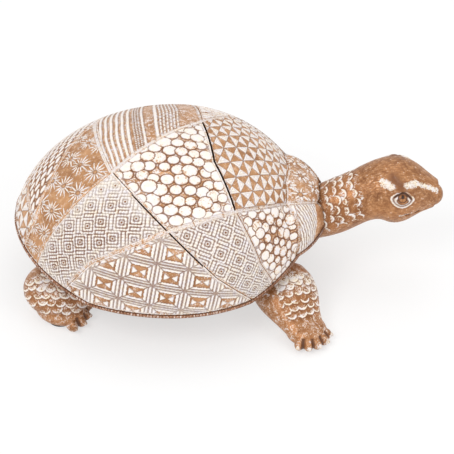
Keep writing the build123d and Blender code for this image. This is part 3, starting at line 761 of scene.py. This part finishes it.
def fringe(u, v, turn=1):
    """Ribs, a slanting hatch and plain copper, side by side, mirrored where turn is -1."""
    u = u * turn
    rib = np.abs((u / RIB_PITCH) % 1 - 0.5) * RIB_PITCH
    across = (u * 1.3 + v * 0.6) / HATCH_PITCH + 0.2 * noise(u / 2, v / 2, 2)
    hatch = np.abs(across % 1 - 0.5) * HATCH_PITCH
    edge = np.where(u < HATCH_START, rib - 0.6, hatch - 0.3)
    edge = edge + 0.1 * noise(u / 1.2, v / 1.2, 6)
    top = step(edge, -0.2, 0.25)
    plain = step(u, PLAIN_START, PLAIN_START + 1.2)
    line = (1 - step(np.abs(edge), 0.15, 0.45)) * (1 - plain) * 1.1
    relief = (0.25 + 0.75 * top) * (1 - plain) + 0.6 * plain
    return relief, (0.45 + 0.65 * top) * (1 - plain) + 0.15 * plain, line * 0.6


carve("panel_fringe_right", fringe, (0.859, -0.368, -34.6))
carve("panel_fringe_left", fringe, (0.859, 0.368, 34.6), turn=-1)


# Beads of filler along the seams: white paste pressed in by hand, uneven, standing as high as the panels'
# faces. Most lie in the gutters over filled joints; those beside an open joint have a flank towards it
# painted black, as shade in the joint.
def bar(name, paint, places, sides, outs, section, **layers):
    """A closed bar along places. A row of its section holds the offsets to the side and out at one place."""
    points = places[:, None] + sides[:, None] * section[..., :1] + outs[:, None] * section[..., 1:]
    rows, count = section.shape[:2]
    around = np.arange(count + 1) % count  # the grid's last column comes back to its first
    shape = bmesh.new()
    bmesh.ops.create_grid(shape, x_segments=count, y_segments=rows - 1, size=1)
    for layer, values in layers.items():
        made = shape.verts.layers.float.new(layer)
        for vert, value in zip(shape.verts, values.reshape(rows, count)[:, around].ravel()):
            vert[made] = value
    for vert, point in zip(shape.verts, points[:, around].reshape(-1, 3)):
        vert.co = point * MM
    bmesh.ops.remove_doubles(shape, verts=shape.verts, dist=MERGE * MM)
    bmesh.ops.holes_fill(shape, edges=shape.edges)
    bmesh.ops.recalc_face_normals(shape, faces=shape.faces)
    mesh = bpy.data.meshes.new(name)
    shape.to_mesh(mesh)
    shape.free()
    mesh.shade_smooth()
    mesh.materials.append(paint)
    piece = add(name, mesh)
    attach(piece, "root")
    return piece


BEAD_STEP = 0.5  # between the places along a bead
BEAD_HIGH = 0.68  # how high a bead's middle stands over its axis
BEAD_SUNK = 0.76  # how far its axis lies under the face
FRONT_RISE = (13.73, math.tan(math.radians(19)))  # the rim climbs from here on, and how steeply
REAR_RISE = (-84.27, math.tan(math.radians(16)))
ARCH_RADIUS = 18.2


def rim_climb(x):
    """How much higher than along the sides the rim is, at a distance ahead of the middle of the box."""
    return np.maximum(0, x - FRONT_RISE[0]) * FRONT_RISE[1] + np.maximum(0, REAR_RISE[0] - x) * REAR_RISE[1]


for name, half, tone, beside, start, end in seam_parts():
    count = int(np.linalg.norm(on_dome(start[None])[0] - on_dome(end[None])[0]) / BEAD_STEP)
    share = np.linspace(0, 1, count)[:, None]
    places = on_dome(start * (1 - share) + end * share)
    in_arch = (places[:, 0] > 0) & (np.hypot(places[:, 1], places[:, 2] - ARCH_MIDDLE) < ARCH_RADIUS)
    places = places[(places[:, 2] > DOME_CENTRE[2] + rim_climb(places[:, 0]) + 0.1) & ~in_arch]
    ways = np.gradient(places, axis=0)
    ways /= np.linalg.norm(ways, axis=1, keepdims=True)
    outs = dome_field(places)[1]
    sides = np.cross(outs, ways)
    turns = np.linspace(0, math.tau, 12, endpoint=False)[None]
    length = np.arange(len(places))[:, None] * BEAD_STEP
    wide = half * (1 + 0.14 * noise(length / 3, 0 * length + half, 3))
    high = BEAD_HIGH + 0.06 * noise(length / 2, 0 * length + half, 5)
    rise = np.where(np.sin(turns) > 0, np.sin(turns), 0.35 * np.sin(turns))
    section = np.stack([beside + wide * np.cos(turns), high * rise - BEAD_SUNK + 0 * wide], 2)
    top = (np.sin(turns) > -0.2) + 0 * wide
    cracks = step(noise(length / 1.3, 0 * length, 8), 0.45, 0.7) + 0 * turns
    hair = 1 - step(np.abs(np.cos(turns) - 0.25 * noise(length / 4, 0 * length, 4)), 0.08, 0.3)
    edges = step(np.abs(np.cos(turns)), 0.75, 0.95) + 0 * wide
    # The flank of a bead that faces an open joint is painted black, as shade in the joint.
    joint_shade_flank = (np.cos(turns) * np.sign(beside) < 0.9 * abs(beside) - 0.87) + 0 * wide
    layers = {
        "relief": top.ravel(),
        "white": (tone * top * (1 - 0.5 * cracks) * (1 - joint_shade_flank)).ravel(),
        "dark": (0.3 * cracks + 0.35 * edges + 0.35 * hair * (half > 0.75) + (1 - top) + 2 * joint_shade_flank).ravel(),
    }
    bar(f"seam_filler_{name}", panel_paint, places, sides, outs, section, **layers)


# Core, one casting that carries the panels, with the lip that they stand on. Its outer edge is a row of
# small copper beads, made apart here, so the lip under them is drawn in a little.
LIP_OVERHANG = 0.6  # beyond the panels' faces
LIP_THICKNESS = 2.2
LIP_TOP = 33.3
LIP_DRAWN_IN = 0.5
CORE_DEPTH = 1.5  # what lies deeper than this under the face is seen through open joints only
core_paint = copper_wash("copper_core", linear(112, 72, 50), linear(158, 106, 74), linear(198, 150, 116))
core_piece = add("core_body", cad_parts["shell_core"].data.copy())
places = read_points(core_piece.data)[0]
depth, out = dome_field(places)
lip = (depth < -LIP_OVERHANG / 2) & (places[:, 2] < 60)
out[:, 2] = 0
places = places - out * (LIP_DRAWN_IN * lip)[:, None]
core_piece.data.vertices.foreach_set("co", (places * MM).ravel())
core_piece.data.update()
# Deeper than CORE_DEPTH the core is painted black, as shade in the open joints, and brown round the neck's
# arch, as shade at its root.
by_neck = np.hypot(places[:, 1], places[:, 2] - ARCH_MIDDLE) < 30
core_shade_layer = core_piece.data.attributes.new("dark", "FLOAT", "POINT")
core_shade_layer.data.foreach_set("value", np.where(depth > CORE_DEPTH, np.where(by_neck, 0.9, OPEN_JOINT_SHADE), 0.0))
core_piece.data.materials.clear()
core_piece.data.materials.append(core_paint)
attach(core_piece, "root")
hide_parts("shell_core")

RIM_BEAD = 2.0  # length of one bead
RIM_STEP = 0.25
ARCH_HALF = 18.6  # the row of beads stops this far from the middle plane, at the neck
BOX_CLEARANCE = 0.05
turns = np.linspace(0, math.tau, 2400, endpoint=False)
ways = np.stack([np.cos(turns), np.sin(turns), 0 * turns], 1)
rim_middle = LIP_TOP - LIP_THICKNESS / 2
mid = np.full(len(turns), rim_middle)
for _ in range(12):  # how far out the lip is and how high it is follow from each other
    low = np.zeros(len(turns))
    high = np.full(len(turns), 140.0)
    for _ in range(30):
        middle = (low + high) / 2
        test = DOME_CENTRE + ways * middle[:, None]
        test[:, 2] = np.maximum(mid, DOME_CENTRE[2])
        outside = dome_field(test)[0] < -LIP_OVERHANG
        high = np.where(outside, middle, high)
        low = np.where(outside, low, middle)
    mid = rim_middle + rim_climb(DOME_CENTRE[0] + ways[:, 0] * low)
outline = DOME_CENTRE * (1, 1, 0) + ways * low[:, None]
outline[:, 2] = mid
inside_arch = (np.abs(outline[:, 1]) < ARCH_HALF) & (ways[:, 0] > 0)
outline = outline[~inside_arch]
outline[:, 0] = np.maximum(outline[:, 0], cad_box[0][0] / MM + BOX_CLEARANCE)
gone = np.concatenate([[0], np.cumsum(np.linalg.norm(np.diff(outline, axis=0), axis=1))])
lengths = np.arange(0, gone[-1], RIM_STEP)
outline = np.stack([np.interp(lengths, gone, outline[:, k]) for k in range(3)], 1)
ways_along = np.gradient(outline, axis=0)
ways_along /= np.linalg.norm(ways_along, axis=1, keepdims=True)
outs = np.cross(ways_along, (0, 0, 1.0))
outs /= np.linalg.norm(outs, axis=1, keepdims=True)
ups = np.tile((0, 0, 1.0), (len(outline), 1))
turns = np.linspace(0, math.tau, 10, endpoint=False)[None]
phase = np.abs(lengths[:, None] / RIM_BEAD % 1 - 0.5) * 2
round_off = np.sqrt(np.clip(1 - phase**2, 0, 1))
wide = 0.30 + 0.70 * round_off
section = np.stack([0.98 * wide * np.sin(turns), -0.60 + 0.56 * wide * np.cos(turns)], 2)
top = (round_off + 0 * turns).ravel()
layers = {"relief": top, "white": top * 0.35, "dark": np.clip(1.1 - 2 * top, 0, 1)}
bar("rim_beads", core_paint, outline, ups, outs, section, **layers)


# Neck with the head, one solid casting glued into the front of the trunk. Scales stand on the neck as
# crescents, the eyes and mouth are carved and painted by hand, and the brows are carved, with painted shade
# in their crease and painted highlights beside it.
SKIN_GRAIN = 0.48
SKIN_DEPTH = 0.5
NECK_START = 41.73
NECK_LENGTH = 92.5
NECK_SHARES = (0.0, 0.11, 0.22, 0.33, 0.44, 0.53, 0.62, 0.70, 0.78, 0.86, 0.94)
NECK_HEIGHTS = (43.8, 45.0, 47.9, 53.0, 58.4, 61.5, 62.9, 63.1, 62.5, 61.4, 60.0)  # of its middle there
NECK_RADIUS = 17
CREAM_WASH = linear(250, 236, 208)
skin_paint = copper_wash(
    "copper_skin", linear(124, 76, 42), linear(178, 120, 74), linear(216, 160, 110), CREAM_WASH
)


def near_path(points, *path):
    """How far each point is from a path through places."""
    near = np.full(len(points), np.inf)
    path = np.array(path, float)
    for start, end in zip(path, path[1:]):
        way = end - start
        share = np.clip((points - start) @ way / (way @ way), 0, 1)
        near = np.minimum(near, np.linalg.norm(points - start - share[:, None] * way, axis=1))
    return near


def right_side(points):
    """The points, those of the left side mirrored to the right."""
    return np.stack([points[:, 0], -np.abs(points[:, 1]), points[:, 2]], 1)


def scales(u, v, long, wide, seed):
    """Scales on a loose grid, as arcs whose free edge points along u: relief, crescent and outer line."""
    crescent, line, body = np.zeros(u.shape), np.zeros(u.shape), np.zeros(u.shape)
    for a in (-1, 0, 1):
        for b in (-1, 0, 1):
            i = np.floor(u / long) + a
            j = np.floor(v / wide - 0.5 * (i % 2)) + b
            middle = (i + 0.3 + 0.45 * (scatter(i, j, seed) - 0.5)) * long
            beside = (j + 0.5 + 0.5 * (i % 2) + 0.3 * (scatter(i, j, seed + 1) - 0.5)) * wide
            du, dv = u - middle, v - beside
            far = np.hypot(du, dv)
            reach = wide * (0.42 + 0.14 * scatter(i, j, seed + 2))
            fade = step(np.cos(np.arctan2(dv, du) + 0.6 * (scatter(i, j, seed + 3) - 0.5)), 0.05, 0.75)
            strong = (fade > 0) * (0.55 + 0.45 * scatter(i, j, seed + 4))
            crescent = np.maximum(crescent, step(0.48 * fade - np.abs(far - reach), -0.15, 0.22) * strong)
            line = np.maximum(line, (1 - step(np.abs(far - reach - 0.85), 0.15, 0.5)) * fade)
            body = np.maximum(body, (far < reach) * fade * far / reach * (0.5 + scatter(i, j, seed + 6)))
    return 0.4 + 0.2 * body + 0.4 * crescent, crescent + 0.3 * body * (1 - crescent), line * (1 - crescent)


def skin(node, name, marks):
    """A casting with skin: marks tell its relief, white and dark from its points."""
    piece = fine_copy(node, name, SKIN_GRAIN)
    points, normals = read_points(piece.data)
    relief, white, dark = marks(points)
    lift = (relief - 1) * SKIN_DEPTH
    write_points(piece.data, points + normals * lift[:, None], relief=relief, white=white, dark=dark)
    piece.data.materials.append(skin_paint)
    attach(piece, "root")
    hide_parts(node)


# Places on the right side of the head, each as ahead, aside and up. The lids are an almond about the eye.
EYE = (107.0, 69.0)
EYE_TILT = (0.985, 0.172)
EYE_HALF = (7.8, 5.5)  # of the lids, along and across
IRIS = (107.0, 71.1)
IRIS_RADIUS = 2.7
CHEEK = (92, -18, 60)
CREASE = ((101.2, -11.5, 80.6), (103.8, -14.5, 78.8), (106.3, -17.2, 77.5))  # between the brow's two painted highlights; painted shade lies along it
TEMPLE = ((94.8, -12.8, 77.9), (97.6, -14.7, 77.3), (99.9, -16.8, 77.0))
RIDGE = ((109.4, -16.0, 77.5), (112.0, -14.4, 77.4), (115.7, -11.8, 76.0))
SNOUT = ((115.7, -11.8, 76.0), (122.7, -8.9, 71.7), (129.4, -6.7, 67.0))
MOUTH = ((104.9, -19.4, 55.8), (112.4, -17.4, 56.3), (119.8, -12.0, 55.8), (130.0, -5.0, 56.6))
LIPS = ((106.0, -19.4, 57.4), (112.8, -17.2, 57.9))


def ring(value, place, low, high):
    """1 where a value is at a place, 0 from high away from it."""
    return 1 - step(np.abs(value - place), low, high)


def head_marks(points):
    """Scales of the neck, and all that is carved and painted on the head, with painted shade in the brow's
    crease and painted highlights beside it. Both sides are the same.
    """
    half = right_side(points)
    x, y, z = half.T
    rise = z - np.interp(x, NECK_START + NECK_LENGTH * np.array(NECK_SHARES), NECK_HEIGHTS)
    around = np.arctan2(points[:, 1], rise) * NECK_RADIUS
    along = x + 0.35 * rise
    relief, crescent, line = scales(along, around, 5.2, 6.4, 2)
    scaly = step(along, 46, 50) * (1 - step(along, 84, 88)) * step(rise, -9, -3)
    stroke = step(noise(x / 2.6 + rise / 4, around / 0.9, 4), -0.45, 0.45)
    relief = scaly * relief + (1 - scaly) * (0.75 + 0.25 * stroke)
    wash = 0.16 + 0.3 * noise(along / 3, around / 3, 9)
    white = scaly * (wash + 0.9 * crescent) + (1 - scaly) * 0.22 * stroke
    dark = np.maximum(scaly * line * 0.8, (1 - scaly) * (1 - stroke) * 0.5)
    cheek = np.exp(-((np.linalg.norm(half - CHEEK, axis=1) / 8) ** 2))
    white = white - 0.3 * cheek
    dark = dark * (1 - cheek)

    # The eye, from the lids inwards: a white almond with an outline, and an iris with a dark ring and pupil.
    beside = (x - EYE[0]) * EYE_TILT[0] - (z - EYE[1]) * EYE_TILT[1]
    above = (z - EYE[1]) * EYE_TILT[0] + (x - EYE[0]) * EYE_TILT[1]
    almond = (np.abs(beside / EYE_HALF[0]) ** 1.6 + np.abs(above / EYE_HALF[1]) ** 1.6) ** (1 / 1.6)
    side = y < -12
    lid = np.where(side, almond, np.inf)
    iris = np.where(side, np.hypot(x - IRIS[0], z - IRIS[1]), np.inf)
    pupil = np.where(side, np.hypot(x - IRIS[0], z - IRIS[1] - 0.5), np.inf)
    eyelid = 1 - step(lid, 0.92, 1.06)
    white = np.maximum(white * (1 - eyelid), eyelid * (1.0 - 0.35 * step(above, 0.5, 3.5)))
    white = np.where((iris < IRIS_RADIUS) | (lid < 0.42), 0.0, white)
    dark = dark * (1 - eyelid)
    dark = np.maximum(dark, ring(lid, 0.76, 0.04, 0.13) * (1.0 + 0.7 * step(above, 0.0, 2.0)))
    dark = np.maximum(dark, ring(lid, 1.1, 0.03, 0.12) * 0.7)
    dark = np.maximum(dark, ring(lid, 0.44, 0.04, 0.12) * 1.1)
    dark = np.maximum(dark, ring(iris, IRIS_RADIUS, 0.2, 0.55) * 1.6)
    dark = np.maximum(dark, (1 - step(pupil, 0.7, 1.3)) * 1.9)
    relief = relief - 0.6 * ring(lid, 0.72, 0.05, 0.16) - 0.4 * ring(iris, IRIS_RADIUS, 0.2, 0.7)

    # The brow: painted shade in its crease, and painted highlights on the temple, the ridge before it and the
    # edge of the snout.
    crease = near_path(half, *CREASE)
    brow_shade = (1 - step(crease + 0.9 * noise(x / 2, around / 2, 2), 0.6, 6.8)) * (1 - eyelid)
    dark = np.maximum(dark, brow_shade)
    white = white * (1 - brow_shade)
    relief = relief - 0.7 * (1 - step(crease, 0.5, 1.6))
    rough = 0.75 * noise(x / 1.2, around / 1.2, 11)
    highlight_near = np.full(len(points), np.inf)
    for path, low, high in ((TEMPLE, 1.4, 4.0), (RIDGE, 1.1, 3.6), (SNOUT, 0.7, 2.6)):
        near = near_path(half, *path)
        white = np.maximum(white, (1 - step(near + rough, low, high)) * (0.68 + 0.25 * stroke))
        highlight_near = np.minimum(highlight_near, near)
    dark = dark * (1 - (1 - step(highlight_near, 1.6, 2.6)) * 0.8)

    # The mouth, and the shade where the neck comes out of the shell.
    dark = np.maximum(dark, (1 - step(near_path(half, *MOUTH), 0.6, 1.3)) * 0.5)
    white = np.maximum(white, (1 - step(near_path(half, *LIPS), 0.6, 1.5)) * 0.6)
    collar = 1 - step(along, 44, 50)
    return relief, white * (1 - 0.5 * collar), np.maximum(dark, collar * 0.8)


skin("neck_head", "neck_and_head", head_marks)


# Four legs, solid castings glued into the trunk by pegs. Rows of crescents lie on the upper side, the feet
# are smooth, with painted shade in the hollows between fat toes, and pale claws. The left legs mirror the
# right ones.
FOOT_TOP = 9.5  # the hollows between the toes, with their painted shade, stay under this
CLAW_TOP = 8


def toe_marks(points, foot, heading, turns, toe_end, hollow_reach):
    """How much painted shade lies in the hollows between the toes, and where the claws are. The toes stand
    round the foot's middle, at some turns, in degrees, from where it is heading."""
    out = points[:, :2] - foot
    far = np.hypot(out[:, 0], out[:, 1])
    turn = np.degrees(np.arctan2(out[:, 1], out[:, 0])) - heading
    dark = np.zeros(len(points))
    for before, after in zip(turns, turns[1:]):
        beside = np.abs(np.radians(turn - (before + after) / 2)) * far
        # Painted shade in the hollow between two toes, where the foot is also sunk a little.
        toe_groove_shade = (1 - step(beside, 0.5, 1.5)) * step(far, hollow_reach, hollow_reach + 2)
        dark = np.maximum(dark, toe_groove_shade * (np.abs(turn) < 90) * (points[:, 2] < FOOT_TOP))
    claw = step(far, toe_end - 0.4, toe_end + 0.3) * (points[:, 2] < CLAW_TOP)
    return dark, claw


def leg_marks(scaly, wash, grown, stroke, smooth, toe_groove_shade, claw):
    """What both kinds of leg have: scales where they are scaly, strokes elsewhere, and marks of the toes,
    with painted shade in the hollows between them.
    """
    relief, crescent, line = grown
    white = scaly * (wash + 0.8 * crescent) + (1 - scaly) * (0.15 + 0.3 * stroke)
    dark = np.maximum(scaly * line * 0.8, toe_groove_shade * 1.2) + (1 - scaly) * (1 - stroke) * 0.3
    relief = scaly * relief + (1 - scaly) * (smooth + (1 - smooth) * stroke) - 0.6 * toe_groove_shade
    return relief, np.maximum(white * (1 - toe_groove_shade), claw), dark


FORELEG_ROOT = (30.48, -36.76)
FORELEG_WAY = (0.438, -0.899)  # level, from the root to the foot
FOREFOOT = (47.2, -68.9)
FOREFOOT_HEADING = -59
HINDFOOT = (-104.24, -50.33)
HINDFOOT_HEADING = -22
LEG_SLOPE = (0.62, 0.79)  # rows of scales follow each other this much outwards and this much down


def foreleg_marks(points):
    """Scales across the foreleg, washed whiter towards the shell's rim."""
    half = right_side(points)
    x, y = (half[:, :2] - FORELEG_ROOT).T
    z = half[:, 2]
    out = x * FORELEG_WAY[0] + y * FORELEG_WAY[1]
    across = y * FORELEG_WAY[0] - x * FORELEG_WAY[1]
    down = LEG_SLOPE[0] * out - LEG_SLOPE[1] * z
    scaly = step(out, 9, 13) * (1 - step(out, 35, 39)) * step(across, -11, -8.5) * step(z, 9, 13)
    wash = 0.22 + 0.4 * (1 - step(out, 14, 26))
    stroke = 0.5 + 0.5 * noise(across / 1.3, down / 4, 6)
    toe_groove_shade, claw = toe_marks(half, FOREFOOT, FOREFOOT_HEADING, (-52, -26, 0, 26, 52), 15.6, 9.0)
    return leg_marks(scaly, wash, scales(down, across, 4.75, 6.0, 5), stroke, 0.85, toe_groove_shade, claw * 0.75)


def hindleg_marks(points):
    """Scales across the hind leg, washed whiter towards the shell's rim."""
    half = right_side(points)
    x, y, z = half.T
    down = -LEG_SLOPE[0] * y - LEG_SLOPE[1] * z
    scaly = step(z, 9, 13) * step(-y, 40, 44)
    wash = 0.25 + 0.35 * step(z, 20, 34)
    stroke = 0.5 + 0.5 * noise(x / 3, down / 1.3, 7)
    toe_groove_shade, claw = toe_marks(half, HINDFOOT, HINDFOOT_HEADING, (-34, -10, 14, 38), 18.6, 11.0)
    return leg_marks(scaly, wash, scales(down, x, 4.6, 6.2, 8), stroke, 0.9, toe_groove_shade, claw * 0.5)


for side in ("right", "left"):
    skin(f"foreleg_{side}", f"foreleg_skin_{side}", foreleg_marks)
    skin(f"hindleg_{side}", f"hindleg_skin_{side}", hindleg_marks)


# Trunk under the shell with the tail, one plain casting in darker copper, glued under the core.
def repaint(node, paint):
    """A solid of the part that stays as it is, with its paint."""
    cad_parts[node].data.materials.clear()
    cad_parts[node].data.materials.append(paint)


repaint("trunk", core_paint)


# Felt pads, punched from felt and stuck under the feet.
felt = Sheet("felt", Roughness=0.95)
fluff = felt.noise(0.6, 4.0, 0.7)
felt_paint = felt.paint(
    Base_Color=felt.mix(fluff, linear(48, 44, 42), linear(78, 72, 68)), Normal=felt.bump(fluff, 0.25)
)
for leg in ("foreleg_right", "foreleg_left", "hindleg_right", "hindleg_left"):
    repaint(f"pad_{leg}", felt_paint)


# Plug of soft grey rubber, pressed into the pouring hole of the trunk.
plug = Sheet("plug", Roughness=0.7)
grain = plug.noise(2.0)
plug_paint = plug.paint(
    Base_Color=plug.mix(grain, linear(176, 160, 146), linear(196, 182, 168)), Normal=plug.bump(grain, 0.1)
)
repaint("belly_plug", plug_paint)


# Floor and light: a pale floor that reads as white where it is looked at or mirrored, and three soft lamps.
WHITE = (1, 1, 1, 1)
FLOOR_GLOW = 0.6  # share of plain white in the floor; the rest takes the object's shadow
bpy.ops.mesh.primitive_plane_add(size=6)
floor = bpy.context.object
floor.name = "floor"
floor_sheet = Sheet("floor", Roughness=0.9, Base_Color=(*linear(250, 250, 250), 1))
rays = ("Is Camera Ray", "Is Glossy Ray", "Is Transmission Ray")
shade = sum(floor_sheet.node("LightPath", {}, output=ray) for ray in rays).clamp() * FLOOR_GLOW
glow = floor_sheet.node("Emission", {}, WHITE, 1.0)
both = floor_sheet.node("MixShader", {}, shade, Value(floor_sheet, floor_sheet.shader.outputs[0]), glow)
surface = floor_sheet.tree.nodes["Material Output"].inputs["Surface"]
floor_sheet.tree.links.new(both.socket, surface)
floor.data.materials.append(floor_sheet.material)
world = bpy.data.worlds.new("studio")
scene.world = world
world.use_nodes = True
world.node_tree.nodes["Background"].inputs["Color"].default_value = WHITE
world.node_tree.nodes["Background"].inputs["Strength"].default_value = 0.8


def lamp(name, place, size, power):
    """A soft round lamp that points at the turtle."""
    data = bpy.data.lights.new(name, "AREA")
    data.shape = "DISK"
    data.size = size
    data.energy = power
    made = add(name, data)
    made.location = place
    made.rotation_euler = (LOOKED_AT - made.location).to_track_quat("-Z", "Y").to_euler()


lamp("key", Vector((-0.7, -0.9, 1.3)), 0.8, 8)
lamp("fill", Vector((1.1, -0.7, 0.9)), 1.0, 3)
lamp("top", Vector((0.1, 0.5, 1.5)), 1.0, 2.5)
